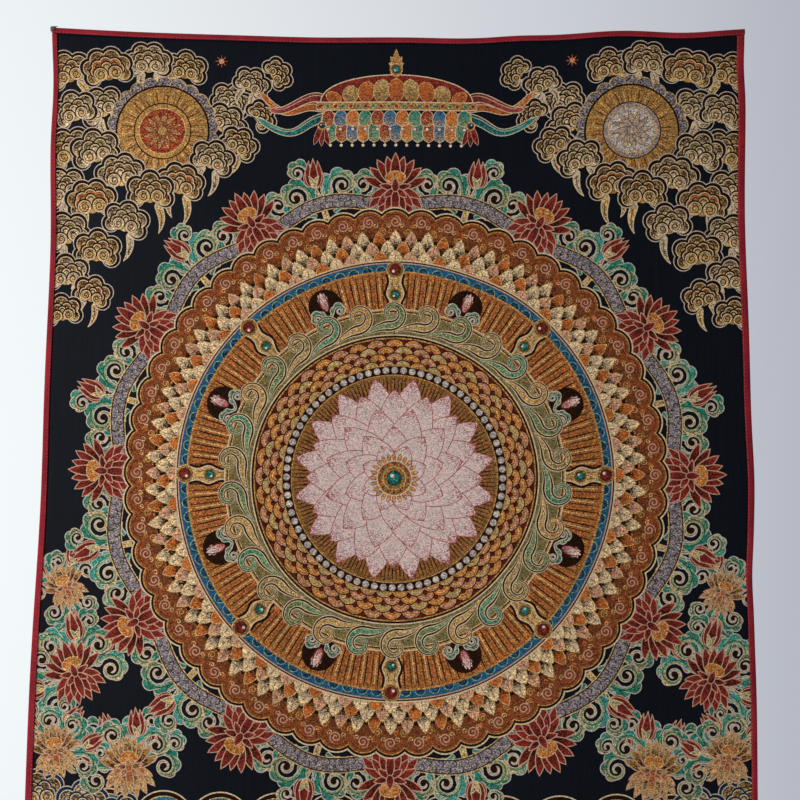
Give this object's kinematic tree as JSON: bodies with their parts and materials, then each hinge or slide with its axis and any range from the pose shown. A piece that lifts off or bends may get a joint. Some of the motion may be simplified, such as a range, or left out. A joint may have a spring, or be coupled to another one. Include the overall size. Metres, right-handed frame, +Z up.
{
  "type": "thangka wall hanging",
  "caption": "Tall woven brocade thangka panel hanging by its top edge, its edges bound with narrow folded red strips, with soft folds and uneven sides.",
  "frame": {"origin": "middle of the top edge, halfway through the cloth's thickness, where the hanging is held up", "axes": "+Z up, +X to the right as the front is seen, the front faces -Y and the wall is on the +Y side"},
  "size_m": [0.6014, 0.011, 0.9084],
  "materials": {
    "navy_brocade": "dense satin-weave silk brocade, dark navy ground",
    "red_binding": "matt plain-weave red cloth, folded over the edge"
  },
  "bodies": {
    "root": {"woven_panel": "navy_brocade", "binding_top": "red_binding", "binding_bottom": "red_binding", "binding_left": "red_binding", "binding_right": "red_binding"}
  },
  "joints": []
}
